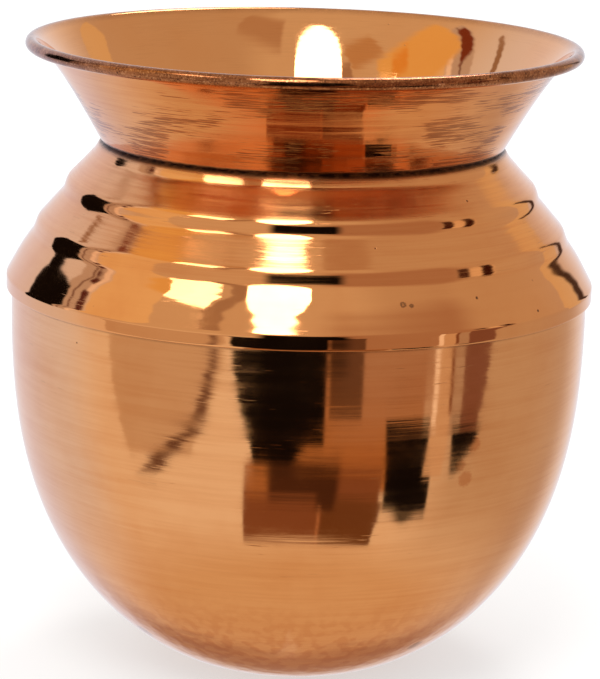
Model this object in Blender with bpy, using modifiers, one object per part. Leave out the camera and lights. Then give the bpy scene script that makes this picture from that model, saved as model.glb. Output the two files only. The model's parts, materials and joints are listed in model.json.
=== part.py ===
"""Ritual water pot: a spun copper vessel with a stepped shoulder and a flared mouth with a wired rim.

Every piece is turned about Z, and the pot stands on z = 0. The shoulder's lip laps over the top of the
bowl, its collar goes up inside the neck, and the neck's edge is curled round a stiffening wire. A ring of
brazing metal closes each of the two seams from inside. Lengths are in metres.
"""

import math

import bpy
from mathutils import Vector

MM = 0.001

# Fits shared by neighbouring pieces
SEAM_CLEARANCE = 0.3 * MM
WIRE_CLEARANCE = 0.25 * MM

# Bowl, outside sizes
BASE_RADIUS = 15.0 * MM
BOWL_RADIUS = 50.1 * MM
BOWL_HEIGHT = 66.2 * MM
BOWL_WALL = 0.7 * MM
BOWL_SIDE_POWER = 2.73
BOWL_BASE_POWER = 1.53

# Shoulder, from the lip up to the collar: each run goes inwards and each rise goes up
SHOULDER_WALL = 0.6 * MM
LIP_HEIGHT = 2.7 * MM
LIP_FILLET = 1.2 * MM
LOWER_BAND_RUN = 5.2 * MM
LOWER_BAND_RISE = 7.4 * MM
LOWER_STEP_RISE = 1.6 * MM
MIDDLE_BAND_RUN = 4.4 * MM
MIDDLE_BAND_RISE = 5.0 * MM
UPPER_STEP_RISE = 1.5 * MM
UPPER_BAND_RUN = 6.2 * MM
UPPER_BAND_RISE = 7.4 * MM
STEP_RUN = 0.5 * MM
STEP_EDGE_FILLET = 0.9 * MM
STEP_ROOT_FILLET = 0.4 * MM
COLLAR_HEIGHT = 4.0 * MM

# Neck, from its lower edge up to the middle of the rolled rim
NECK_WALL = 0.5 * MM
FLARE_RUN = 11.9 * MM
FLARE_RISE = 16.25 * MM
FLARE_ANGLE = math.radians(38.0)
FLARE_LOWER_HANDLE = 2.9 * MM
FLARE_UPPER_HANDLE = 6.1 * MM
RIM_WIRE_DIAMETER = 0.7 * MM
CURL_SWEEP = math.radians(270.0)

# Brazed seams
NECK_BRAZE_DEPTH = 1.5 * MM
BELLY_BRAZE_WIDTH = 1.2 * MM

# Facets of the turned pieces
TURN_STEPS = 48
BOWL_POINTS = 15
FLARE_POINTS = 8
CURL_POINTS = 10
FILLET_POINTS = 3
WIRE_SIDES = 8
MERGE_DISTANCE = 0.01 * MM

# Places that follow from the sizes above
LIP_RADIUS = BOWL_RADIUS + SEAM_CLEARANCE + SHOULDER_WALL
BOWL_EDGE_HEIGHT = BOWL_HEIGHT + LIP_HEIGHT - SEAM_CLEARANCE
LOWER_STEP_RADIUS = LIP_RADIUS - LOWER_BAND_RUN
UPPER_STEP_RADIUS = LOWER_STEP_RADIUS - STEP_RUN - MIDDLE_BAND_RUN
COLLAR_RADIUS = UPPER_STEP_RADIUS - STEP_RUN - UPPER_BAND_RUN
LOWER_STEP_HEIGHT = LIP_HEIGHT + LOWER_BAND_RISE
UPPER_STEP_HEIGHT = LOWER_STEP_HEIGHT + LOWER_STEP_RISE + MIDDLE_BAND_RISE
COLLAR_FOOT = UPPER_STEP_HEIGHT + UPPER_STEP_RISE + UPPER_BAND_RISE
NECK_SEAT = BOWL_HEIGHT + COLLAR_FOOT + SEAM_CLEARANCE
NECK_RADIUS = COLLAR_RADIUS + SEAM_CLEARANCE + NECK_WALL
RIM_RADIUS = NECK_RADIUS + FLARE_RUN
RIM_HEIGHT = NECK_SEAT + FLARE_RISE
CURL_RADIUS = RIM_WIRE_DIAMETER / 2 + WIRE_CLEARANCE + NECK_WALL / 2

# Finishes: colour, roughness and metallic value
POLISHED_COPPER = ((0.86, 0.47, 0.29), 0.16, 1.0)
DULL_COPPER = ((0.55, 0.27, 0.17), 0.45, 1.0)
BRAZING_METAL = ((0.78, 0.60, 0.30), 0.35, 1.0)


def offset_line(points, distance):
    """Shift a line to the right of its direction by a distance, mitred at every point."""
    last = len(points) - 1
    shifted = []
    for index, point in enumerate(points):
        before = (point - points[max(index - 1, 0)]).normalized()
        after = (points[min(index + 1, last)] - point).normalized()
        side_before = Vector((before.y, -before.x))
        side_after = Vector((after.y, -after.x))
        mitre = side_before + side_after
        if mitre.length == 0.0:
            mitre = side_after
        mitre.normalize()
        reach = max(mitre.dot(side_before), mitre.dot(side_after))
        shifted.append(point + mitre * (distance / reach))
    return shifted


def rounded_line(corners):
    """Join (radius, height, fillet) corners, turning each inner corner on an arc of its fillet radius."""
    points = [Vector(corners[0][:2])]
    for index in range(1, len(corners) - 1):
        corner = Vector(corners[index][:2])
        to_last = Vector(corners[index - 1][:2]) - corner
        to_next = Vector(corners[index + 1][:2]) - corner
        half_angle = to_last.angle(to_next) / 2
        room = 0.45 * min(to_last.length, to_next.length)
        cut = min(corners[index][2] / math.tan(half_angle), room)
        fillet = cut * math.tan(half_angle)
        middle = corner + (to_last.normalized() + to_next.normalized()).normalized() * (
            fillet / math.sin(half_angle))
        start = corner + to_last.normalized() * cut - middle
        turn = start.angle_signed(corner + to_next.normalized() * cut - middle)
        for step in range(FILLET_POINTS):
            angle = -turn * step / (FILLET_POINTS - 1)
            points.append(middle + Vector((
                start.x * math.cos(angle) - start.y * math.sin(angle),
                start.x * math.sin(angle) + start.y * math.cos(angle))))
    points.append(Vector(corners[-1][:2]))
    return points


def crossing_at_height(line, height):
    """Return the radius at which a line from top to bottom passes a height."""
    for upper, lower in zip(line, line[1:]):
        if lower.y <= height <= upper.y:
            share = (height - lower.y) / (upper.y - lower.y)
            return lower.x + (upper.x - lower.x) * share
    return line[-1].x


def wall_loop(outer, inner):
    """Close a sheet's section: up the inner line, then down the outer one. Both run top to bottom."""
    return list(reversed(inner)) + list(outer)


def bowl_line():
    """Outside of the bowl, top to bottom: a straight edge, then a superellipse down to the flat base."""
    points = [Vector((BOWL_RADIUS, BOWL_EDGE_HEIGHT))]
    for step in range(BOWL_POINTS):
        angle = math.pi / 2 * (1 - step / (BOWL_POINTS - 1))
        out = abs(math.sin(angle)) ** (2 / BOWL_BASE_POWER)
        down = abs(math.cos(angle)) ** (2 / BOWL_SIDE_POWER)
        points.append(Vector((
            BASE_RADIUS + (BOWL_RADIUS - BASE_RADIUS) * out,
            BOWL_HEIGHT * (1 - down))))
    points.append(Vector((0.0, 0.0)))
    return points


def shoulder_line():
    """Outside of the shoulder, top to bottom: collar, then three bands with a step under the first two."""
    middle_top = UPPER_STEP_RADIUS
    middle_foot = LOWER_STEP_RADIUS - STEP_RUN
    return rounded_line([
        (COLLAR_RADIUS, COLLAR_FOOT + COLLAR_HEIGHT, 0.0),
        (COLLAR_RADIUS, COLLAR_FOOT, STEP_ROOT_FILLET),
        (UPPER_STEP_RADIUS - STEP_RUN, UPPER_STEP_HEIGHT + UPPER_STEP_RISE, STEP_EDGE_FILLET),
        (middle_top, UPPER_STEP_HEIGHT, STEP_ROOT_FILLET),
        (middle_foot, LOWER_STEP_HEIGHT + LOWER_STEP_RISE, STEP_EDGE_FILLET),
        (LOWER_STEP_RADIUS, LOWER_STEP_HEIGHT, STEP_ROOT_FILLET),
        (LIP_RADIUS, LIP_HEIGHT, LIP_FILLET),
        (LIP_RADIUS, 0.0, 0.0),
    ])


def neck_line():
    """Middle of the neck's sheet, top to bottom: the curl from its free end, then the flare."""
    rim = Vector((RIM_RADIUS, FLARE_RISE))
    along = Vector((math.cos(FLARE_ANGLE), math.sin(FLARE_ANGLE)))
    start = Vector((NECK_RADIUS - NECK_WALL / 2, 0.0))
    end = rim + Vector((-along.y, along.x)) * CURL_RADIUS
    lower_handle = start + Vector((0.0, FLARE_LOWER_HANDLE))
    upper_handle = end - along * FLARE_UPPER_HANDLE
    points = []
    for step in range(CURL_POINTS):
        angle = FLARE_ANGLE + math.pi / 2 - CURL_SWEEP * (1 - step / (CURL_POINTS - 1))
        points.append(rim + Vector((math.cos(angle), math.sin(angle))) * CURL_RADIUS)
    for step in range(1, FLARE_POINTS):
        share = 1 - step / (FLARE_POINTS - 1)
        points.append(
            start * (1 - share) ** 3
            + lower_handle * (3 * share * (1 - share) ** 2)
            + upper_handle * (3 * share ** 2 * (1 - share))
            + end * share ** 3)
    return points


def finish_material(name, finish):
    """Make a Principled material from a colour, a roughness and a metallic value."""
    colour, roughness, metallic = finish
    material = bpy.data.materials.new(name)
    material.use_nodes = True
    shader = material.node_tree.nodes["Principled BSDF"]
    shader.inputs["Base Color"].default_value = (*colour, 1.0)
    shader.inputs["Roughness"].default_value = roughness
    shader.inputs["Metallic"].default_value = metallic
    return material


def turned_piece(name, loop, seat, finish, pot, closed=True):
    """Turn a section about Z and seat the piece on the pot's axis.

    A closed section joins its last point to its first; an open one starts and ends on the axis.
    """
    edges = [(index, index + 1) for index in range(len(loop) - 1)]
    if closed:
        edges.append((len(loop) - 1, 0))
    mesh = bpy.data.meshes.new(name)
    mesh.from_pydata([(point.x, 0.0, point.y) for point in loop], edges, [])
    piece = bpy.data.objects.new(name, mesh)
    pot["parts"].objects.link(piece)
    piece.parent = pot["axis"]
    piece.location.z = seat
    turn = piece.modifiers.new("Turn", "SCREW")
    turn.axis = "Z"
    turn.angle = 2 * math.pi
    turn.steps = TURN_STEPS
    turn.render_steps = TURN_STEPS
    turn.use_smooth_shade = True
    turn.use_merge_vertices = True
    turn.merge_threshold = MERGE_DISTANCE
    mesh.materials.append(finish_material(name + "_finish", finish))
    return piece


def make_bowl(pot):
    """Cup with a flat standing face; its straight top edge goes up inside the shoulder's lip."""
    outer = bowl_line()
    inner = offset_line(outer, BOWL_WALL)
    inner[-1].x = 0.0
    turned_piece("bowl", wall_loop(outer, inner), 0.0, POLISHED_COPPER, pot, closed=False)


def make_shoulder(pot):
    """Stepped ring whose lip hangs over the bowl's edge."""
    outer = shoulder_line()
    inner = offset_line(outer, SHOULDER_WALL)
    turned_piece("shoulder", wall_loop(outer, inner), BOWL_HEIGHT, POLISHED_COPPER, pot)


def make_neck(pot):
    """Flared funnel over the shoulder's collar, curled outwards at the rim."""
    middle = neck_line()
    outer = offset_line(middle, -NECK_WALL / 2)
    inner = offset_line(middle, NECK_WALL / 2)
    turned_piece("neck", wall_loop(outer, inner), NECK_SEAT, POLISHED_COPPER, pot)


def make_rim_wire(pot):
    """Ring of wire inside the curl."""
    loop = []
    for step in range(WIRE_SIDES):
        angle = -2 * math.pi * step / WIRE_SIDES
        loop.append(Vector((math.cos(angle), math.sin(angle))) * (RIM_WIRE_DIAMETER / 2)
                    + Vector((RIM_RADIUS, 0.0)))
    turned_piece("rim_wire", loop, RIM_HEIGHT, DULL_COPPER, pot)


def make_neck_braze(pot):
    """Wedge of brazing metal between the collar and the neck, level with the collar's top."""
    neck_inside = offset_line(neck_line(), NECK_WALL / 2 + SEAM_CLEARANCE)
    top = COLLAR_FOOT + COLLAR_HEIGHT + BOWL_HEIGHT - NECK_SEAT
    foot = top - NECK_BRAZE_DEPTH
    inside = COLLAR_RADIUS + SEAM_CLEARANCE
    loop = [
        Vector((inside, foot)),
        Vector((inside, top)),
        Vector((crossing_at_height(neck_inside, top), top)),
        Vector((crossing_at_height(neck_inside, foot), foot)),
    ]
    turned_piece("neck_braze", loop, NECK_SEAT, BRAZING_METAL, pot)


def make_belly_braze(pot):
    """Wedge of brazing metal on the bowl's top edge, under the slope of the lowest band."""
    slope = Vector((-LOWER_BAND_RUN, LOWER_BAND_RISE)).normalized()
    under = SHOULDER_WALL + SEAM_CLEARANCE
    on_slope = Vector((LIP_RADIUS, LIP_HEIGHT)) - Vector((slope.y, -slope.x)) * under
    climb = LOWER_BAND_RISE / LOWER_BAND_RUN
    foot = BOWL_EDGE_HEIGHT - BOWL_HEIGHT + SEAM_CLEARANCE
    outside = on_slope.x - (foot - on_slope.y) / climb
    inside = outside - BELLY_BRAZE_WIDTH
    loop = [
        Vector((inside, foot)),
        Vector((inside, on_slope.y + (on_slope.x - inside) * climb)),
        Vector((outside, foot)),
    ]
    turned_piece("belly_braze", loop, BOWL_HEIGHT, BRAZING_METAL, pot)


def main():
    """Clear the scene and build the pot from its base up."""
    for old in list(bpy.data.objects):
        bpy.data.objects.remove(old, do_unlink=True)
    parts = bpy.data.collections.new("ritual_water_pot")
    bpy.context.scene.collection.children.link(parts)
    axis = bpy.data.objects.new("pot_axis", None)
    parts.objects.link(axis)
    pot = {"parts": parts, "axis": axis}
    make_bowl(pot)
    make_belly_braze(pot)
    make_shoulder(pot)
    make_neck_braze(pot)
    make_neck(pot)
    make_rim_wire(pot)


main()
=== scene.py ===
"""Looks of the ritual water pot: polished spun copper, turning lines, light tarnish and a dull rim.

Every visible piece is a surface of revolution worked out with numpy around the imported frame. A section,
which is a line of (radius, height) points, is carried round Z, and small offsets along the section's
normal give it tool ripple, hammer marks and a slightly uneven roundness. Lengths are in metres and
angles in degrees, unless a docstring says otherwise.
"""

from __future__ import annotations

import json
import logging
import math
from dataclasses import dataclass
from enum import Enum
from functools import cached_property
from typing import Any

import bpy
import numpy as np
from mathutils import Euler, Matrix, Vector

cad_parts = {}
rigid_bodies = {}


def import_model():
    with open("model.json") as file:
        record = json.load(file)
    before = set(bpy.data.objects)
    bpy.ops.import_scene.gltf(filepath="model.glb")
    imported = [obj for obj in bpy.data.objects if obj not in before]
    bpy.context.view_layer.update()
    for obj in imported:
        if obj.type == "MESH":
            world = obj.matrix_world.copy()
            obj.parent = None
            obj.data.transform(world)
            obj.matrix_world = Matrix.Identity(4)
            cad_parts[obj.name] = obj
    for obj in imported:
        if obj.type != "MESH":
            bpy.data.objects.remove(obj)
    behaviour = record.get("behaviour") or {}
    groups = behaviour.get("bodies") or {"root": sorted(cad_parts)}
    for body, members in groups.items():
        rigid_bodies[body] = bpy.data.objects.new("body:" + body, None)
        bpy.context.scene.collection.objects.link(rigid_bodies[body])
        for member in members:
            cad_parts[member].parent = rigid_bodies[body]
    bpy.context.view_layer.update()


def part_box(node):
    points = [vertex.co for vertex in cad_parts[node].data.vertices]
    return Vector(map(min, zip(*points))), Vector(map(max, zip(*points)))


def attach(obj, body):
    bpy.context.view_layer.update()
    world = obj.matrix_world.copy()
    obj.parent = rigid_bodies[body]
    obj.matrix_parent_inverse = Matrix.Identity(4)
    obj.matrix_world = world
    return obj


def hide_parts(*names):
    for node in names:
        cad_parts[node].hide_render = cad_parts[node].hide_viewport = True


Triple = tuple[float, float, float]
Colour = Triple
Pair = tuple[float, float]
Socket = bpy.types.NodeSocket

LOG = logging.getLogger("water_pot")
MM = 0.001
BODY = "root"
SEED = 41
EDGE_POINTS = 5
EDGE_BULGE = 0.4
OUT_OF_ROUND = 0.0018
LOBE_PEAK = 1.04  # just above the most that the lobes add up to
MAX_CUT = 0.45  # share of the shorter run that a fillet may take
DRIFT = (0.8, 0.4)  # swing of a wave's phase, once and twice round the axis
DIMPLE_PLACE = (0.15, 0.85)  # where in its cell a dimple's middle lies
DIMPLE_DEPTH = (0.25, 1.0)
DIMPLE_REACH = 0.36  # square of a dimple's reach, in cells
SPARE_ROWS = 4
POINTING = ("Position", "Centre")  # group sockets that hold vectors


class Side(Enum):
    """Which face of the sheet a point of a section lies on."""

    OUTSIDE = 0.0
    INSIDE = 1.0


# Sections and meshes


def resample(line: np.ndarray, spacing: float) -> np.ndarray:
    """Space a line's points evenly along its length.

    Args:
        line: (n, 2) radius and height points.
        spacing: Wanted distance between points.

    Returns:
        (m, 2) points that start and end where the line does.
    """
    steps = np.hypot(*np.diff(line, axis=0).T)
    travelled = np.concatenate([[0.0], np.cumsum(steps)])
    count = max(int(round(travelled[-1] / spacing)), 1) + 1
    wanted = np.linspace(0.0, travelled[-1], count)
    return np.stack([np.interp(wanted, travelled, line[:, axis]) for axis in (0, 1)], axis=1)


def right_normals(line: np.ndarray) -> np.ndarray:
    """Unit vectors to the right of a line's direction, from central differences.

    Args:
        line: (n, 2) radius and height points.

    Returns:
        (n, 2) unit vectors.
    """
    along = np.gradient(line, axis=0)
    along /= np.linalg.norm(along, axis=1, keepdims=True)
    return np.stack([along[:, 1], -along[:, 0]], axis=1)


def arc(middle: np.ndarray, radius: float, start: float, end: float, count: int) -> np.ndarray:
    """Points on a circle from one angle to another, angles in radians from the outward radius.

    Args:
        middle: Centre of the circle, as radius and height.
        radius: Circle radius.
        start: First angle.
        end: Last angle.
        count: Number of points.

    Returns:
        (count, 2) points.
    """
    angles = np.linspace(start, end, count)
    return middle + radius * np.stack([np.cos(angles), np.sin(angles)], axis=1)


def filleted(corners: list[Triple], count: int = 14) -> np.ndarray:
    """Join corners with straight runs and turn each inner corner on an arc.

    The arc touches both runs at fillet / tan(half angle) from the corner; its centre is on the bisector.

    Args:
        corners: (radius, height, fillet) of each corner, in order.
        count: Points on each arc.

    Returns:
        (n, 2) points.
    """
    pieces = [np.array([corners[0][:2]])]
    for before, here, after in zip(corners, corners[1:], corners[2:]):
        corner = np.array(here[:2])
        back = np.array(before[:2]) - corner
        ahead = np.array(after[:2]) - corner
        room = MAX_CUT * min(np.linalg.norm(back), np.linalg.norm(ahead))
        back /= np.linalg.norm(back)
        ahead /= np.linalg.norm(ahead)
        half = math.acos(float(np.clip(back @ ahead, -1.0, 1.0))) / 2
        cut = min(here[2] / math.tan(half), room)
        bisector = (back + ahead) / np.linalg.norm(back + ahead)
        middle = corner + bisector * cut / math.cos(half)
        first = corner + back * cut - middle
        last = corner + ahead * cut - middle
        start = math.atan2(first[1], first[0])
        sweep = (math.atan2(last[1], last[0]) - start + math.pi) % (2 * math.pi) - math.pi
        pieces.append(arc(middle, float(np.linalg.norm(first)), start, start + sweep, count))
    pieces.append(np.array([corners[-1][:2]]))
    return np.concatenate(pieces)


def bezier(handles: list[np.ndarray], count: int = 120) -> np.ndarray:
    """Cubic Bezier curve through four handles, as the sum of its Bernstein weights.

    Args:
        handles: Start, two handles and end, each as radius and height.
        count: Number of points.

    Returns:
        (count, 2) points.
    """
    share = np.linspace(0.0, 1.0, count)[:, None]
    rest = 1.0 - share
    start, first, second, end = handles
    return start * rest**3 + first * 3 * share * rest**2 + second * 3 * share**2 * rest + end * share**3


@dataclass
class Section:
    """A sheet's closed outline, point by point.

    Attributes:
        points: (n, 2) radius and height.
        inside: (n,) 1 on the inner face, 0 on the outer face.
        along: (n,) distance along the outline, so that turning lines follow the sheet.
        grime: (n,) 1 where painted shade and dirt darken the creases, 0 on clean metal.
    """

    points: np.ndarray
    inside: np.ndarray
    along: np.ndarray
    grime: np.ndarray

    @classmethod
    def of_sheet(cls, outer: np.ndarray, inner: np.ndarray, foot: bool = True) -> "Section":
        """Close a sheet: up the inner line, over a round edge, down the outer line and round the foot.

        Args:
            outer: Outer line, top to bottom.
            inner: Inner line, top to bottom.
            foot: False for a sheet whose lines both end on the axis.

        Returns:
            The closed section, starting at the inner line's foot.
        """
        climb = inner[::-1]
        parts = [climb, cls._edge(climb[-1], outer[0], climb[-1] - climb[-2]), outer]
        sides = [Side.INSIDE, Side.INSIDE, Side.OUTSIDE]
        if foot:
            parts.append(cls._edge(outer[-1], climb[0], outer[-1] - outer[-2]))
            sides.append(Side.OUTSIDE)
        inside = [np.full(len(part), side.value) for part, side in zip(parts, sides)]
        return cls._of_points(np.concatenate(parts), np.concatenate(inside))

    @classmethod
    def of_loop(cls, points: np.ndarray) -> "Section":
        """Take a closed outline of a solid ring as it is."""
        return cls._of_points(points, np.zeros(len(points)))

    @classmethod
    def _of_points(cls, points: np.ndarray, inside: np.ndarray) -> "Section":
        """Measure the distance along the points, and leave them clean."""
        steps = np.hypot(*np.diff(points, axis=0).T)
        return cls(points, inside, np.concatenate([[0.0], np.cumsum(steps)]), np.zeros(len(points)))

    @staticmethod
    def _edge(start: np.ndarray, end: np.ndarray, onward: np.ndarray) -> np.ndarray:
        """Rounded edge: part of an ellipse between two edge points, bulging onward, without its ends.

        Args:
            start: Edge point that the outline comes from.
            end: Edge point that it goes on to.
            onward: Way that the edge bulges, of any length.

        Returns:
            (EDGE_POINTS, 2) points.
        """
        middle = (start + end) / 2
        spoke = start - middle
        onward = EDGE_BULGE * onward / np.linalg.norm(onward) * np.linalg.norm(spoke)
        angles = np.linspace(0.0, math.pi, EDGE_POINTS + 2)[1:-1, None]
        return middle + spoke * np.cos(angles) + onward * np.sin(angles)

    def outside(self) -> np.ndarray:
        """(n,) True on the outer face."""
        return self.inside == Side.OUTSIDE.value

    def darken_crease(self, corner: Pair, reach: float, strength: float) -> None:
        """Paint shade and dirt round a corner: strength times exp(-(distance / reach)^4), on the outer
        face.

        Args:
            corner: Radius and height of the corner.
            reach: How far the painted shade and dirt spread.
            strength: Most that it covers.
        """
        gap = np.hypot(*(self.points - corner).T)
        self.grime = np.maximum(self.grime, self.outside() * strength * np.exp(-((gap / reach) ** 4)))


@dataclass
class Turning:
    """Carries a section round Z as a mesh.

    Attributes:
        section: The closed outline.
        facets: Number of steps round the axis.
        poles: True where the section starts and ends on the axis.
    """

    section: Section
    facets: int = 320
    poles: bool = False

    def angles(self) -> np.ndarray:
        """(1, facets) angles round Z."""
        return np.linspace(0.0, 2 * math.pi, self.facets, endpoint=False)[None, :]

    def mesh(
        self, name: str, push: np.ndarray | float = 0.0, bend: np.ndarray | float = 1.0,
    ) -> bpy.types.Mesh:
        """Build the mesh: (r cos a, r sin a, z), with r and z pushed along the section's normal.

        Args:
            name: Mesh name.
            push: Outward offset, on the grid of section points by angles or broadcast to it.
            bend: Factor on the radius, on the same grid.

        Returns:
            The mesh, with its normals pointing out, and with the attributes inside, along and grime.
        """
        line = self.section.points
        padded = line if self.poles else np.concatenate([line[-1:], line, line[:1]])
        normals = -right_normals(padded)
        if not self.poles:
            normals = normals[1:-1]
        turn = self.angles()
        radius = (line[:, :1] + normals[:, :1] * push) * bend + 0.0 * turn
        height = line[:, 1:] + normals[:, 1:] * push + 0.0 * turn
        grid = np.stack([radius * np.cos(turn), radius * np.sin(turn), height], axis=-1)
        vertices, faces = self._stitch(grid)
        mesh = bpy.data.meshes.new(name)
        mesh.from_pydata(vertices.tolist(), [], [face for part in faces for face in part.tolist()])
        for label in ("inside", "along", "grime"):
            self.paint(mesh, label, getattr(self.section, label))
        mesh.polygons.foreach_set("use_smooth", np.ones(len(mesh.polygons), dtype=bool))
        mesh.update()
        return mesh

    def paint(self, mesh: bpy.types.Mesh, label: str, values: np.ndarray) -> None:
        """Store one value per section point as a mesh attribute, the same all round.

        Args:
            mesh: Mesh that this turning made.
            label: Attribute name.
            values: (n,) value of each section point.
        """
        spread = np.repeat(values, self.facets)
        if self.poles:
            spread = np.concatenate([spread[self.facets:-self.facets], values[[0, -1]]])
        layer = mesh.attributes.new(label, "FLOAT", "POINT")
        layer.data.foreach_set("value", spread.astype(np.float32))

    def _stitch(self, grid: np.ndarray) -> tuple[np.ndarray, list[np.ndarray]]:
        """Join a grid's rows and columns into faces that point out.

        Args:
            grid: (rows, facets, 3) positions.

        Returns:
            Vertices, and lists of quads and triangles.
        """
        body = grid[1:-1] if self.poles else grid
        vertices = body.reshape(-1, 3)
        index = np.arange(len(vertices)).reshape(-1, self.facets)
        upper = np.roll(index, -1, axis=0)
        lower = index
        if self.poles:
            lower, upper = lower[:-1], upper[:-1]
            vertices = np.concatenate([vertices, grid[0, :1], grid[-1, :1]])
        quads = np.stack([lower, np.roll(lower, -1, 1), np.roll(upper, -1, 1), upper], -1)
        faces = [quads.reshape(-1, 4)]
        if self.poles:
            first, last = index[0], index[-1]
            pole = np.full(self.facets, len(vertices) - 2)
            faces.append(np.stack([pole, np.roll(first, -1), first], -1))
            faces.append(np.stack([pole + 1, last, np.roll(last, -1)], -1))
        corners = vertices[faces[0]]
        volume = np.einsum("ij,ij->", corners[:, 0], np.cross(corners[:, 1], corners[:, 2]))
        if volume < 0:
            faces = [part[:, ::-1] for part in faces]
        return vertices, faces


def ripple(along: np.ndarray, turn: np.ndarray, lengths: tuple[float, ...], seed: int) -> np.ndarray:
    """Waves a spinning tool leaves: sines along the sheet that drift slowly round the axis, summed.

    Args:
        along: (n,) distance along the sheet.
        turn: (1, m) angles round the axis.
        lengths: Wave lengths.
        seed: Seed of the waves' phases.

    Returns:
        (n, m) heights of about -1 to 1.
    """
    dice = np.random.default_rng(seed)
    total = np.zeros((len(along), turn.shape[1]))
    for length in lengths:
        phase, drift, tilt = dice.uniform(0, 2 * math.pi, 3)
        wave = 2 * math.pi * along[:, None] / length + phase
        wave = wave + DRIFT[0] * np.sin(turn + drift) + DRIFT[1] * np.sin(2 * turn + tilt)
        total += np.sin(wave)
    return total / len(lengths)


def hammer_marks(along: np.ndarray, turn: np.ndarray, size: float, cells: int, seed: int) -> np.ndarray:
    """Shallow dimples, one per jittered cell: depth = 1 - (distance / reach) squared, of the deepest.

    Args:
        along: (n,) distance along the sheet.
        turn: (1, m) angles round the axis.
        size: Cell size along the sheet.
        cells: Cells round the axis.
        seed: Seed of the jitter.

    Returns:
        (n, m) depth, 0 to 1.
    """
    dice = np.random.default_rng(seed)
    rows = int(along.max() / size) + SPARE_ROWS
    jitter = dice.uniform(*DIMPLE_PLACE, (rows, cells, 2))
    depth = dice.uniform(*DIMPLE_DEPTH, (rows, cells))
    column, row = np.broadcast_arrays(turn / (2 * math.pi) * cells, along[:, None] / size + 1)
    result = np.zeros(column.shape)
    for step_row in (-1, 0, 1):
        for step_column in (-1, 0, 1):
            r = np.clip(np.floor(row).astype(int) + step_row, 0, rows - 1)
            c = np.floor(column).astype(int) + step_column
            centre = jitter[r, c % cells]
            gap = (column - c - centre[..., 0]) ** 2 + (row - r - centre[..., 1]) ** 2
            result = np.maximum(result, depth[r, c % cells] * np.clip(1 - gap / DIMPLE_REACH, 0, 1))
    return result


# Shader nodes


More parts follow.
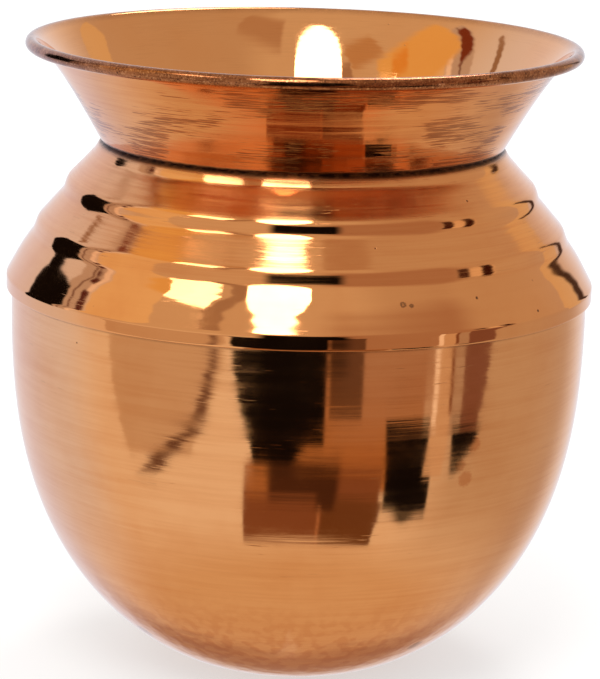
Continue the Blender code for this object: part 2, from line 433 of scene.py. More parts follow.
@dataclass
class Desk:
    """Lays out nodes in one shader tree."""

    tree: Any

    def node(self, kind: str, **settings: Any) -> bpy.types.Node:
        """Add a node and set its properties.

        Args:
            kind: Node type, without its prefix.
            settings: Value of each property.

        Returns:
            The node.
        """
        node = self.tree.nodes.new("ShaderNode" + kind)
        for key, value in settings.items():
            setattr(node, key, value)
        return node

    def put(self, socket: Socket, value: Any) -> None:
        """Link a socket to another one, or set its plain value.

        Args:
            socket: Socket to fill.
            value: Socket to link it to, or a number, vector or colour.
        """
        if isinstance(value, Socket):
            self.tree.links.new(value, socket)
        elif isinstance(value, tuple) and socket.type == "RGBA":
            socket.default_value = (*value, 1.0)
        else:
            socket.default_value = value

    def feed(self, node: bpy.types.Node, *values: Any) -> bpy.types.Node:
        """Put values into a node's sockets, in order.

        Args:
            node: Node to fill.
            values: Values of its first sockets.

        Returns:
            The same node.
        """
        for socket, value in zip(node.inputs, values):
            self.put(socket, value)
        return node

    def label(self, node: bpy.types.Node, **values: Any) -> bpy.types.Node:
        """Put values into a node's sockets, by name.

        Args:
            node: Node to fill.
            values: Value of each socket, with _ for a space in its name.

        Returns:
            The same node.
        """
        for key, value in values.items():
            self.put(node.inputs[key.replace("_", " ")], value)
        return node

    def maths(self, operation: str, *values: Any, clamp: bool = False) -> Socket:
        """Math node."""
        return self.feed(self.node("Math", operation=operation, use_clamp=clamp), *values).outputs[0]

    def times(self, first: Any, second: Any) -> Socket:
        """Product of two values."""
        return self.maths("MULTIPLY", first, second)

    def add(self, base: Any, value: Any, share: Any, clamp: bool = False) -> Socket:
        """Base plus a share of a value."""
        return self.maths("MULTIPLY_ADD", value, share, base, clamp=clamp)

    def vectors(self, operation: str, *values: Any) -> bpy.types.Node:
        """Vector Math node."""
        return self.feed(self.node("VectorMath", operation=operation), *values)

    def stretch(self, vector: Any, factors: Triple) -> Socket:
        """Vector times a factor on each axis."""
        return self.vectors("MULTIPLY", vector, factors).outputs[0]

    def span(self, value: Any, low: Any, high: Any, to_low: Any = 0.0, to_high: Any = 1.0) -> Socket:
        """Map Range node with a smooth step, clamped."""
        node = self.node("MapRange", interpolation_type="SMOOTHSTEP")
        return self.feed(node, value, low, high, to_low, to_high).outputs[0]

    def mix(self, share: Any, first: Any, second: Any) -> Socket:
        """Colour mix from first to second.

        Args:
            share: 0 for the first colour, 1 for the second.
            first: First colour.
            second: Second colour.

        Returns:
            The mixed colour.
        """
        node = self.node("Mix", data_type="RGBA", clamp_factor=True)
        for index, value in ((0, share), (6, first), (7, second)):
            self.put(node.inputs[index], value)
        return node.outputs[2]

    def noise(self, vector: Any, scale: Any, detail: float, roughness: float) -> Socket:
        """Noise value, about 0 to 1."""
        node = self.label(
            self.node("TexNoise"), Vector=vector, Scale=scale, Detail=detail, Roughness=roughness)
        return node.outputs["Fac"]

    def place(self) -> Socket:
        """Object coordinates."""
        return self.node("TexCoord").outputs["Object"]

    def layer(self, name: str) -> Socket:
        """A mesh attribute that the turning painted."""
        return self.node("Attribute", attribute_name=name).outputs["Fac"]

    def height(self, vector: Any) -> Socket:
        """The vector's Z."""
        return self.feed(self.node("SeparateXYZ"), vector).outputs["Z"]

    def use(self, group: bpy.types.NodeTree, **inputs: Any) -> bpy.types.Node:
        """Place a node group with its own values."""
        return self.label(self.node("Group", node_tree=group), **inputs)

    def mask(self, group: bpy.types.NodeTree, place: Any, **inputs: Any) -> Socket:
        """Place a group that makes one mask from a position."""
        return self.use(group, Position=place, **inputs).outputs[0]

    def metal(self, shader: bpy.types.Node, colour: Any, rough: Any, relief: Any, depth: float) -> None:
        """Dress a shader as bare metal, with a bump of a depth."""
        bump = self.label(self.node("Bump"), Height=relief, Distance=depth)
        self.label(shader, Normal=bump.outputs[0], Base_Color=colour, Roughness=rough, Metallic=1.0)


def new_group(name: str, inputs: tuple[str, ...], outputs: tuple[str, ...]) -> tuple[Desk, Any, Any]:
    """Start a shader node group with named sockets.

    Args:
        name: Group name.
        inputs: Names of the sockets on its left.
        outputs: Names of the sockets on its right.

    Returns:
        Its desk, its input node's sockets and its output node's sockets.
    """
    tree = bpy.data.node_groups.new(name, "ShaderNodeTree")
    for in_out, labels in (("INPUT", inputs), ("OUTPUT", outputs)):
        for label in labels:
            kind = "NodeSocketVector" if label in POINTING else "NodeSocketFloat"
            tree.interface.new_socket(name=label, in_out=in_out, socket_type=kind)
    start, end = tree.nodes.new("NodeGroupInput"), tree.nodes.new("NodeGroupOutput")
    return Desk(tree), start.outputs, end.inputs


def new_material(name: str) -> tuple[bpy.types.Material, Desk, bpy.types.Node]:
    """Start a material.

    Args:
        name: Material name.

    Returns:
        The material, its desk and its shader.
    """
    material = bpy.data.materials.new(name)
    material.use_nodes = True
    return material, Desk(material.node_tree), material.node_tree.nodes["Principled BSDF"]


# Turning lines: each noise's scale, detail and roughness, and its stretch on the fine one's grid
FINE_NOISE = (1.0, 3.0, 0.6)
EVEN_NOISE = (1.0, 2.0, 0.5)
SHARP_NOISE = (1.0, 2.0, 0.7)
COARSE_LINES = (0.6, 0.6, 0.23)
SHARP_LINES = (2.0, 2.0, 1.5)
LINE_BANDS = (0.9, 0.9, 0.045)
BUSY_BAND = (0.36, 0.62)
RARE_SCRATCH = 0.74
SCRATCH_EDGE = 0.12
FINE_HEIGHT = 0.6
COARSE_HEIGHT = 1.7
STREAK_SPAN = (0.75, 1.35)
# Patches, pits and spots
CLOUD_NOISE = (4.0, 0.62)
PIT_LEAST = 0.4
PIT_FLAT = 0.45
SPOT_NOISE = (2400.0, 3.0, 0.6)
SPOT_RAG = 0.9
SPOT_DISC = (1.0, 0.55)
SPOT_CORE = (0.6, 0.3)


class Effects:
    """Node groups that several finishes share, each built once, when it is first used."""

    @cached_property
    def lines(self) -> bpy.types.NodeTree:
        """Lines round the axis: noise that is long round the pot and short along the sheet.

        Fine and coarse waves make soft lines, and the peaks of a third noise make sparse, sharp
        scratches, which gather in the bands of a fourth.

        Returns:
            The group.
        """
        desk, get, out = new_group(
            "turning lines", ("Position", "Along", "Pitch", "Length", "Scratches"),
            ("Height", "Streak", "Scratch"))
        flat = desk.vectors("NORMALIZE", desk.stretch(get["Position"], (1.0, 1.0, 0.0))).outputs[0]
        reach = desk.label(desk.vectors("SCALE", flat), Scale=get["Length"]).outputs[0]
        turns = desk.maths("DIVIDE", get["Along"], get["Pitch"])
        climb = desk.feed(desk.node("CombineXYZ"), 0.0, 0.0, turns).outputs[0]
        place = desk.vectors("ADD", reach, climb).outputs[0]
        fine = desk.noise(place, *FINE_NOISE)
        coarse = desk.noise(desk.stretch(place, COARSE_LINES), *EVEN_NOISE)
        cut = desk.noise(desk.stretch(place, SHARP_LINES), *SHARP_NOISE)
        busy = desk.span(desk.noise(desk.stretch(place, LINE_BANDS), *EVEN_NOISE), *BUSY_BAND)
        low = desk.maths("SUBTRACT", RARE_SCRATCH, desk.times(get["Scratches"], busy))
        scratch = desk.span(cut, low, desk.maths("ADD", low, SCRATCH_EDGE))
        waves = desk.add(desk.times(fine, FINE_HEIGHT), coarse, COARSE_HEIGHT)
        desk.put(out["Height"], desk.maths("SUBTRACT", waves, scratch))
        desk.put(out["Streak"], desk.span(desk.maths("ADD", fine, coarse), *STREAK_SPAN))
        desk.put(out["Scratch"], scratch)
        return desk.tree

    @cached_property
    def mottle(self) -> bpy.types.NodeTree:
        """Soft uneven patches of tarnish.

        Returns:
            The group.
        """
        desk, get, out = new_group("mottle", ("Position", "Scale", "Low", "High"), ("Mask",))
        cloud = desk.noise(get["Position"], get["Scale"], *CLOUD_NOISE)
        desk.put(out["Mask"], desk.span(cloud, get["Low"], get["High"]))
        return desk.tree

    @cached_property
    def pits(self) -> bpy.types.NodeTree:
        """Sparse small pits: the middle of a cell, in cells whose own random value is low enough.

        Returns:
            The group.
        """
        desk, get, out = new_group("pits", ("Position", "Scale", "Share", "Size"), ("Mask",))
        cells = desk.node("TexVoronoi", feature="F1")
        desk.label(cells, Vector=get["Position"], Scale=get["Scale"])
        dice = desk.feed(desk.node("SeparateColor"), cells.outputs["Color"]).outputs
        chosen = desk.maths("LESS_THAN", dice[0], get["Share"])
        size = desk.times(get["Size"], desk.maths("ADD", dice[1], PIT_LEAST))
        dot = desk.span(cells.outputs["Distance"], size, desk.times(size, PIT_FLAT))
        desk.put(out["Mask"], desk.times(dot, chosen))
        return desk.tree

    @cached_property
    def spot(self) -> bpy.types.NodeTree:
        """One ragged mark at a place on the pot: a disc with a noisy edge, less a core where hollow.

        Returns:
            The group.
        """
        desk, get, out = new_group("spot", ("Position", "Centre", "Radius", "Hollow"), ("Mask",))
        jitter = desk.noise(get["Position"], *SPOT_NOISE)
        gap = desk.vectors("DISTANCE", get["Position"], get["Centre"]).outputs["Value"]
        gap = desk.maths("DIVIDE", gap, get["Radius"])
        gap = desk.maths("ADD", gap, desk.add(-SPOT_RAG / 2, jitter, SPOT_RAG))
        core = desk.times(desk.span(gap, *SPOT_CORE), get["Hollow"])
        disc = desk.span(gap, *SPOT_DISC)
        desk.put(out["Mask"], desk.maths("SUBTRACT", disc, core, clamp=True))
        return desk.tree


# Finishes


@dataclass(frozen=True)
class Mark:
    """One blemish of the metal, with its lengths in millimetres.

    Attributes:
        azimuth: Degrees round the pot from the front, positive to the right as seen from the front.
        height: Height above the table.
        radius: Distance of the surface from the axis there.
        size: Size of the mark.
        colour: Its colour.
        strength: How much of the metal's own colour it covers.
        hollow: 1 for a ring, 0 for a filled mark.
    """

    azimuth: float
    height: float
    radius: float
    size: float
    colour: Colour
    strength: float
    hollow: float = 0.0

    def cover(self, desk: Desk, effects: Effects, place: Socket) -> Socket:
        """How much of the metal the mark covers, from place to place.

        Args:
            desk: Desk of the material.
            effects: Shared node groups.
            place: Object coordinates.

        Returns:
            Mask, up to the strength.
        """
        angle, radius = math.radians(self.azimuth), self.radius * MM
        centre = (radius * math.sin(angle), -radius * math.cos(angle), self.height * MM)
        spot = desk.mask(effects.spot, place, Centre=centre, Radius=self.size * MM, Hollow=self.hollow)
        return desk.times(spot, self.strength)


OXIDE = (0.09, 0.035, 0.02)
# Painted shade, with dirt, in creases and seams
CREASE_SHADE_AND_DIRT = (0.045, 0.016, 0.009)
SCRATCHED = (0.35, 0.115, 0.04)
STAIN = (0.62, 0.17, 0.04)
# Painted shade in the hammer dimples, darker towards the bottom
DIMPLE_SHADE = (0.68, 0.235, 0.075)
RIM_LIGHT = (0.43, 0.155, 0.06)
RIM_DARK = (0.27, 0.09, 0.032)
RIM_BLACK = (0.10, 0.036, 0.02)
RIM_PALE = (0.72, 0.35, 0.16)

# Noises: scale, detail and roughness
BLOW_NOISE = (520.0, 1.0, 0.4)
GRAIN_NOISE = (2900.0, 2.0, 0.7)
LUMP_NOISE = (420.0, 3.0, 0.6)
BRAZE_NOISE = (900.0, 3.0, 0.6)
# Spans of a noise, some with the span of values that they give
BLOW_SHADOW = (0.42, 0.62, 0.25, 0.7)
LUMP_SPAN = (0.35, 0.7)
DARK_GRAINS = (0.54, 0.70)
PALE_GRAINS = (0.44, 0.34, 0.0, 0.6)
BLOW_DEPTH = 6.0
BLOW_FADE = 0.35
GRAIN_DEPTH = 1.2
RIM_ROUGHNESS = 0.10
# Least share of the painted crease shade and dirt that a patch keeps
LEAST_CREASE_COVER = 0.75
QUARTER_TURN = 0.25

TARNISH = {"Scale": 46.0, "Low": 0.42, "High": 0.74}
HAZE = {"Scale": 170.0, "Low": 0.46, "High": 0.72}
# Patches in the painted crease shade and dirt
CREASE_PATCHES = {"Scale": 620.0, "Low": 0.30, "High": 0.62}
BLOTCHES = {"Scale": 330.0, "Low": 0.38, "High": 0.7}
PITS = {"Scale": 330.0, "Share": 0.06, "Size": 0.07}


@dataclass(frozen=True)
class SpunCopper:
    """Polished copper sheet with turning lines.

    Attributes:
        bright: Colour of clean metal.
        deep: Colour of slightly oxidised metal.
        inner: Colour of clean metal inside the pot, or None where it is no different.
        gloss: Least roughness.
        streak_gloss: Roughness added in the turning lines.
        brushed: How much more the metal scatters across its turning lines than along them.
        pitch: Distance between the turning lines.
        line_depth: Height of the turning lines.
        line_length: How often a line breaks round the pot; low values give long lines.
        scratches: How far the scratches spread; 0 leaves only the rarest.
        scratch_tone: How dark the scratches are.
        hammer_top: Height up to which fine hammer marks and their painted shade show, 0 for none.
        inner_roughness: Roughness added inside the pot.
        brush_roughness: Roughness added where the sheet was left brushed.
        smooth_below: Height below which the turning lines are mostly polished away, 0 for none.
        smooth_lines: Share of the turning lines left there.
        inner_lines: Share of the turning lines left inside the pot.
        tarnish_tone: How far tarnish deepens the colour.
        streak_tone: How far a turning line deepens the colour.
        pit_tone: How dark the pits are.
        pit_depth: Depth of the pits, in turning lines.
        haze_roughness: Roughness added by haze.
        scratch_roughness: Roughness added in scratches.
        pit_and_crease_roughness: Roughness added in pits and in the creases' painted shade and dirt.
        marks: Blemishes at places of their own.
        rim: Whether the sheet has a dull rolled edge.
    """

    name: str
    bright: Colour
    deep: Colour
    inner: Colour | None = None
    gloss: float = 0.055
    streak_gloss: float = 0.06
    brushed: float = 0.6
    pitch: float = 0.42 * MM
    line_depth: float = 0.007 * MM
    line_length: float = 2.6
    scratches: float = 0.09
    scratch_tone: float = 0.25
    hammer_top: float = 0.0
    inner_roughness: float = 0.12
    brush_roughness: float = 0.0
    smooth_below: float = 0.0
    smooth_lines: float = 0.22
    inner_lines: float = 0.06
    tarnish_tone: float = 0.55
    streak_tone: float = 0.5
    pit_tone: float = 0.8
    pit_depth: float = 2.0
    haze_roughness: float = 0.035
    scratch_roughness: float = 0.08
    pit_and_crease_roughness: float = 0.35
    marks: tuple[Mark, ...] = ()
    rim: bool = False

    def make(self, effects: Effects) -> bpy.types.Material:
        """Build the material from Object coordinates and the section's own attributes.

        Args:
            effects: Shared node groups.

        Returns:
            The material.
        """
        material, desk, shader = new_material(self.name)
        place, inside = desk.place(), desk.layer("inside")
        lines = desk.use(
            effects.lines, Position=place, Along=desk.layer("along"), Pitch=self.pitch,
            Length=self.line_length, Scratches=self.scratches)
        pits = desk.mask(effects.pits, place, **PITS)
        worked = desk.add(1.0, inside, self.inner_lines - 1.0)
        if self.smooth_below:
            low, high = self.smooth_below - MM, self.smooth_below
            worked = desk.times(worked, desk.span(desk.height(place), low, high, self.smooth_lines, 1.0))
        streak, scratch, relief = (
            desk.times(lines.outputs[label], worked) for label in ("Streak", "Scratch", "Height"))
        relief = desk.add(relief, pits, -self.pit_depth)
        # Creases and seams get painted shade with dirt, in patches
        cover = desk.add(LEAST_CREASE_COVER, desk.mask(effects.mottle, place, **CREASE_PATCHES), 1.0 - LEAST_CREASE_COVER)
        darken_crease = desk.maths("MULTIPLY", desk.layer("grime"), cover, clamp=True)
        tarnish = desk.mask(effects.mottle, place, **TARNISH)
        tone = desk.add(desk.times(streak, self.streak_tone), tarnish, self.tarnish_tone, clamp=True)
        colour = desk.mix(tone, self.bright, self.deep)
        if self.inner:
            colour = desk.mix(inside, colour, desk.mix(tone, self.inner, self.bright))
        colour = desk.mix(desk.times(scratch, self.scratch_tone), colour, SCRATCHED)
        colour = desk.mix(desk.times(pits, self.pit_tone), colour, OXIDE)
        for mark in self.marks:
            colour = desk.mix(mark.cover(desk, effects, place), colour, mark.colour)
        # Painted shade and dirt in the creases and seams
        colour = desk.mix(darken_crease, colour, CREASE_SHADE_AND_DIRT)
        coarse = [
            (streak, self.streak_gloss),
            (desk.mask(effects.mottle, place, **HAZE), self.haze_roughness),
            (scratch, self.scratch_roughness),
            (inside, self.inner_roughness),
        ]
        if self.brush_roughness:
            coarse.append((desk.layer("brush"), self.brush_roughness))
        coarse.append((desk.maths("MAXIMUM", pits, darken_crease), self.pit_and_crease_roughness))
        rough: Any = self.gloss
        for mask, share in coarse:
            rough = desk.add(rough, mask, share)
        # Painted shade in the dimples low on the bowl, with the dimples' relief
        if self.hammer_top:
            colour, relief = self._dimple_shaded(desk, place, colour, relief)
        if self.rim:
            colour, rough, relief = self._dulled(desk, place, colour, rough, relief)
        desk.metal(shader, colour, rough, relief, self.line_depth)
        tangent = desk.node("Tangent", direction_type="RADIAL", axis="Z").outputs[0]
        desk.label(shader, Tangent=tangent, Anisotropic=self.brushed, Anisotropic_Rotation=QUARTER_TURN)
        return material

    def _dimple_shaded(self, desk: Desk, place: Socket, colour: Socket, relief: Socket) -> list[Socket]:
        """Paint mottled shade into the colour low down, darker towards the bottom and following the
        hammer dimples, and dimple the relief there, where the sheet was beaten.

        Args:
            desk: Desk of the material.
            place: Object coordinates.
            colour: Colour so far.
            relief: Relief so far.

        Returns:
            The new colour and relief.
        """
        low_down = desk.span(desk.height(place), self.hammer_top, BLOW_FADE * self.hammer_top)
        blows = desk.noise(place, *BLOW_NOISE)
        shadow = desk.times(low_down, desk.span(blows, *BLOW_SHADOW))
        dimples = desk.times(low_down, desk.times(blows, BLOW_DEPTH))
        return [desk.mix(shadow, colour, DIMPLE_SHADE), desk.maths("ADD", relief, dimples)]

    def _dulled(
        self, desk: Desk, place: Socket, colour: Socket, rough: Socket, relief: Socket,
    ) -> list[Socket]:
        """Make the rolled edge lumpy, grainy and dull: two browns with dark and pale grains.

        Args:
            desk: Desk of the material.
            place: Object coordinates.
            colour: Colour so far.
            rough: Roughness so far.
            relief: Relief so far.

        Returns:
            The new colour, roughness and relief.
        """
        edge = desk.layer("rim")
        grain = desk.noise(place, *GRAIN_NOISE)
        dull = desk.mix(desk.span(desk.noise(place, *LUMP_NOISE), *LUMP_SPAN), RIM_LIGHT, RIM_DARK)
        dull = desk.mix(desk.span(grain, *DARK_GRAINS), dull, RIM_BLACK)
        dull = desk.mix(desk.span(grain, *PALE_GRAINS), dull, RIM_PALE)
        rough = desk.maths("ADD", rough, desk.times(edge, RIM_ROUGHNESS))
        relief = desk.maths("ADD", relief, desk.times(edge, desk.times(grain, GRAIN_DEPTH)))
        return [desk.mix(edge, colour, dull), rough, relief]


@dataclass(frozen=True)
class FusedMetal:
    """Brazing metal or drawn wire: a mottled colour with a lumpy, half-dull surface."""

    name: str
    light: Colour
    dark: Colour
    roughness: float
    lump_depth: float = 0.05 * MM
    lump_roughness: float = 0.2

    def make(self, effects: Effects) -> bpy.types.Material:
        """Build the material from Object coordinates.

        Args:
            effects: Shared node groups.

        Returns:
            The material.
        """
        material, desk, shader = new_material(self.name)
        place = desk.place()
        colour = desk.mix(desk.mask(effects.mottle, place, **BLOTCHES), self.light, self.dark)
        lumps = desk.noise(place, *BRAZE_NOISE)
        rough = desk.add(self.roughness, lumps, self.lump_roughness)
        desk.metal(shader, colour, rough, lumps, self.lump_depth)
        return material


# Pieces of the pot


def place_object(data: bpy.types.ID) -> bpy.types.Object:
    """Put a mesh, lamp or camera in the scene under its own name.

    Args:
        data: What to put there.

    Returns:
        Its object.
    """
    placed = bpy.data.objects.new(data.name, data)
    bpy.context.scene.collection.objects.link(placed)
    return placed


def show(mesh: bpy.types.Mesh, material: bpy.types.Material, node: str) -> None:
    """Put a piece in the scene in place of its frame node, and report it.

    Args:
        mesh: The piece's mesh, in the frame.
        material: Its finish.
        node: Frame node that it stands for.
    """
    piece = place_object(mesh)
    mesh.materials.append(material)
    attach(piece, BODY)
    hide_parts(node)
    LOG.info("%s: %d faces in place of %s", piece.name, len(mesh.polygons), node)


def unround(turn: np.ndarray) -> np.ndarray:
    """Factor on the radius that makes the pot a little out of round: low cosine lobes, never above 1.

    Args:
        turn: Angles round the axis.

    Returns:
        Factors, on the same grid as the angles.
    """
    dice = np.random.default_rng(SEED)
    lobes = sum(np.cos(count * turn + dice.uniform(0, 2 * math.pi)) / count for count in (2, 3, 5))
    return 1.0 - OUT_OF_ROUND * (lobes + LOBE_PEAK) / (2 * LOBE_PEAK)


@dataclass
class Bowl:
    """Spun cup: a straight edge inside the lip, a superellipse side and a flat base."""

    finish: SpunCopper
    base_radius: float = 15.0 * MM
    height: float = 66.2 * MM
    wall: float = 0.7 * MM
    side_power: float = 2.73
    base_power: float = 1.53
    side_points: int = 500
    spacing: float = 0.62 * MM
    # Reach and strength of the painted shade and dirt in the seam under the lip
    seam_shade: Pair = (0.5 * MM, 0.6)
    waves: tuple[float, ...] = (2.1 * MM, 3.7 * MM, 6.3 * MM)
    ripple_height: float = 0.006 * MM
    hammer_depth: float = 0.028 * MM
    hammer_top: float = 30.0 * MM
    hammer_fade: Pair = (0.6, 2.0 * MM)
    hammer_size: float = 3.1 * MM
    hammer_cells: int = 62
    calm_radius: float = 12.0 * MM

    def outline(self) -> np.ndarray:
        """Outer line, top to bottom.

        The side is r = base + (radius - base) sin(a)^(2/p) and z = height (1 - cos(a)^(2/q)), with p the
        base power and q the side power.

        Returns:
            (n, 2) radius and height points.
        """
        low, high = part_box("bowl")
        angle = np.linspace(math.pi / 2, 0.0, self.side_points)
        out = np.abs(np.sin(angle)) ** (2 / self.base_power)
        down = np.abs(np.cos(angle)) ** (2 / self.side_power)
        radius = self.base_radius + (high.x - self.base_radius) * out
        side = np.stack([radius, self.height * (1 - down)], axis=1)
        return resample(np.concatenate([[[high.x, high.z]], side, [[0.0, low.z]]]), self.spacing)

    def build(self, effects: Effects) -> None:
        """Model the bowl with tool ripple, and hammer marks low on its outside; its pole stays calm.

        Args:
            effects: Shared node groups.
        """
        outer = self.outline()
        inner = resample(outer + right_normals(outer) * self.wall, 2 * self.spacing)
        inner[-1, 0] = 0.0
        section = Section.of_sheet(outer, inner, foot=False)
        # Painted shade and dirt in the seam under the lip
        section.darken_crease((outer[0, 0], self.height), *self.seam_shade)
        turned = Turning(section, poles=True)
        turn = turned.angles()
        push = self.ripple_height * ripple(section.along, turn, self.waves, SEED)
        fade_above, fade_below = self.hammer_fade
        rise = section.points[:, 1:]
        hammered = np.clip((self.hammer_top - rise) / (fade_above * self.hammer_top), 0, 1)
        hammered = hammered * np.clip(rise / fade_below, 0, 1)
        marks = hammer_marks(section.along, turn, self.hammer_size, self.hammer_cells, SEED)
        push = push - self.hammer_depth * hammered * section.outside()[:, None] * marks
        push = push * np.clip(section.points[:, :1] / self.calm_radius, 0, 1)
        mesh = turned.mesh("bowl_shell", push, unround(turn))
        show(mesh, self.finish.make(effects), "bowl")


@dataclass
class Shoulder:
    """Stepped ring: an upturned collar, three sloping bands with a step under the first two, and a lip.

    A pair of lengths is a run and a rise, and a shade is the reach and strength of painted shade and
    dirt.
    """

    finish: SpunCopper
    wall: float = 0.6 * MM
    lip_height: float = 2.7 * MM
    lip_drop: float = 0.5 * MM
    lip_fillet: float = 0.8 * MM
    lower_band: Pair = (5.2 * MM, 7.4 * MM)
    lower_step_rise: float = 1.6 * MM
    middle_band: Pair = (4.4 * MM, 5.0 * MM)
    upper_step_rise: float = 1.5 * MM
    upper_band: Pair = (6.2 * MM, 7.4 * MM)
    step_run: float = 0.5 * MM
    fullness: float = 0.4 * MM
    seat: Pair = (1.0 * MM, 0.6 * MM)
    upper_wall: Pair = (1.95 * MM, 2.1 * MM)
    upper_edge: Pair = (0.1 * MM, 0.5 * MM)
    lower_root: Pair = (0.3 * MM, 0.55 * MM)
    upper_bow: float = -0.03 * MM
    lower_bow: float = 0.12 * MM
    lower_bow_share: float = 0.42
    bow_fillet: float = 30.0 * MM
    wall_fillet: float = 4.0 * MM
    seat_fillet: float = 0.22 * MM
    edge_fillet: float = 3.0 * MM
    root_fillet: float = 2.8 * MM
    spacing: float = 0.22 * MM
    brush_slope: Pair = (35.0, 39.0)
    middle_brush: float = 0.2
    collar_shade: Pair = (1.3 * MM, 1.0)
    step_shade: Pair = (0.3 * MM, 0.15)
    unshaded_above: float = 0.3 * MM
    waves: tuple[float, ...] = (1.9 * MM, 3.1 * MM)
    ripple_height: float = 0.004 * MM

    def corners(self) -> list[Pair]:
        """Step the bands in and up from the lip.

        Returns:
            Collar foot, upper foot, upper step, middle foot, lower step and lip shoulder.
        """
        low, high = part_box("shoulder")
        lip = (high.x, low.z + self.lip_height)
        lower_step = (lip[0] - self.lower_band[0], lip[1] + self.lower_band[1])
        middle_foot = (lower_step[0] - self.step_run, lower_step[1] + self.lower_step_rise)
        upper_step = (middle_foot[0] - self.middle_band[0], middle_foot[1] + self.middle_band[1])
        upper_foot = (upper_step[0] - self.step_run, upper_step[1] + self.upper_step_rise)
        collar = (upper_foot[0] - self.upper_band[0], upper_foot[1] + self.upper_band[1])
        return [collar, upper_foot, upper_step, middle_foot, lower_step, lip]

    def bowed(self, start: Pair, end: Pair, rise: float, share: float = 0.5) -> Triple:
        """Corner that bows a band: a point on it moved out by twice the rise, where the tangents meet.

        Args:
            start: Upper end of the band.
            end: Lower end of the band.
            rise: How far the band stands out there; negative for a hollow band.
            share: Share of the band above the point.

        Returns:
            The corner's radius, height and fillet.
        """
        first, last = np.array(start), np.array(end)
        run = (last - first) / np.linalg.norm(last - first)
        middle = first + share * (last - first) + 2 * rise * np.array([-run[1], run[0]])
        return (float(middle[0]), float(middle[1]), self.bow_fillet)

    def outline(self) -> np.ndarray:
        """Outer line from the collar's top to the lip's lower edge, with the outer bands bowed.

        Returns:
            (n, 2) radius and height points.
        """
        low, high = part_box("shoulder")
        collar, upper_foot, upper_step, middle_foot, lower_step, lip = self.corners()
        seat = (collar[0] + self.seat[0], collar[1] - self.seat[1])
        wall = (collar[0] + self.upper_wall[0], collar[1] - self.upper_wall[1])
        edge = (upper_foot[0] - self.upper_edge[0], upper_foot[1] + self.upper_edge[1])
        root = (lower_step[0] + self.lower_root[0], lower_step[1] - self.lower_root[1])
        edge, upper_step, middle_foot, root = (
            (radius + self.fullness, height) for radius, height in (edge, upper_step, middle_foot, root))
        lip = (lip[0], lip[1] - self.lip_drop)
        line = filleted([
            (collar[0], high.z, 0.0),
            (*collar, self.seat_fillet),
            (*seat, self.seat_fillet),
            (*wall, self.wall_fillet),
            self.bowed(wall, edge, self.upper_bow),
            (*edge, self.edge_fillet),
            (*upper_step, self.root_fillet),
            (*middle_foot, self.edge_fillet),
            (*root, self.root_fillet),
            self.bowed(root, lip, self.lower_bow, self.lower_bow_share),
            (*lip, self.lip_fillet),
            (high.x, low.z, 0.0),
        ])
        return resample(line, self.spacing)

    def brushing(self, section: Section) -> np.ndarray:
        """How brushed each point is: the flat of the upper band fully, the middle band a little.

        Args:
            section: The ring's section.

        Returns:
            (points,) values from 0 to 1.
        """
        _, upper_foot, _, _, lower_step, _ = self.corners()
        out, up = -right_normals(section.points).T
        gentle, flat = self.brush_slope
        level = np.clip((np.degrees(np.arctan2(up, out)) - gentle) / (flat - gentle), 0, 1)
        height = section.points[:, 1]
        share = np.where(height > upper_foot[1], 1.0, self.middle_brush) * (height > lower_step[1])
        return level * share * section.outside()

    def build(self, effects: Effects) -> None:
        """Model the ring with fine tool ripple, painted shade and dirt at the collar's foot and a little
        in the roots.

        Args:
            effects: Shared node groups.
        """
        outer = self.outline()
        inner = resample(outer + right_normals(outer) * self.wall, 2 * self.spacing)
        section = Section.of_sheet(outer, inner)
        collar, _, upper_step, _, lower_step, _ = self.corners()
        # Painted shade and dirt at the collar's foot, none above it, and a little in the roots
        section.darken_crease(collar, *self.collar_shade)
        section.grime[section.points[:, 1] > collar[1] + self.unshaded_above] = 0.0
        for step in (upper_step, lower_step):
            section.darken_crease(step, *self.step_shade)
        turned = Turning(section)
        turn = turned.angles()
        push = self.ripple_height * ripple(section.along, turn, self.waves, SEED + 1)
        mesh = turned.mesh("shoulder_ring", push, unround(turn))
        turned.paint(mesh, "brush", self.brushing(section))
        show(mesh, self.finish.make(effects), "shoulder")


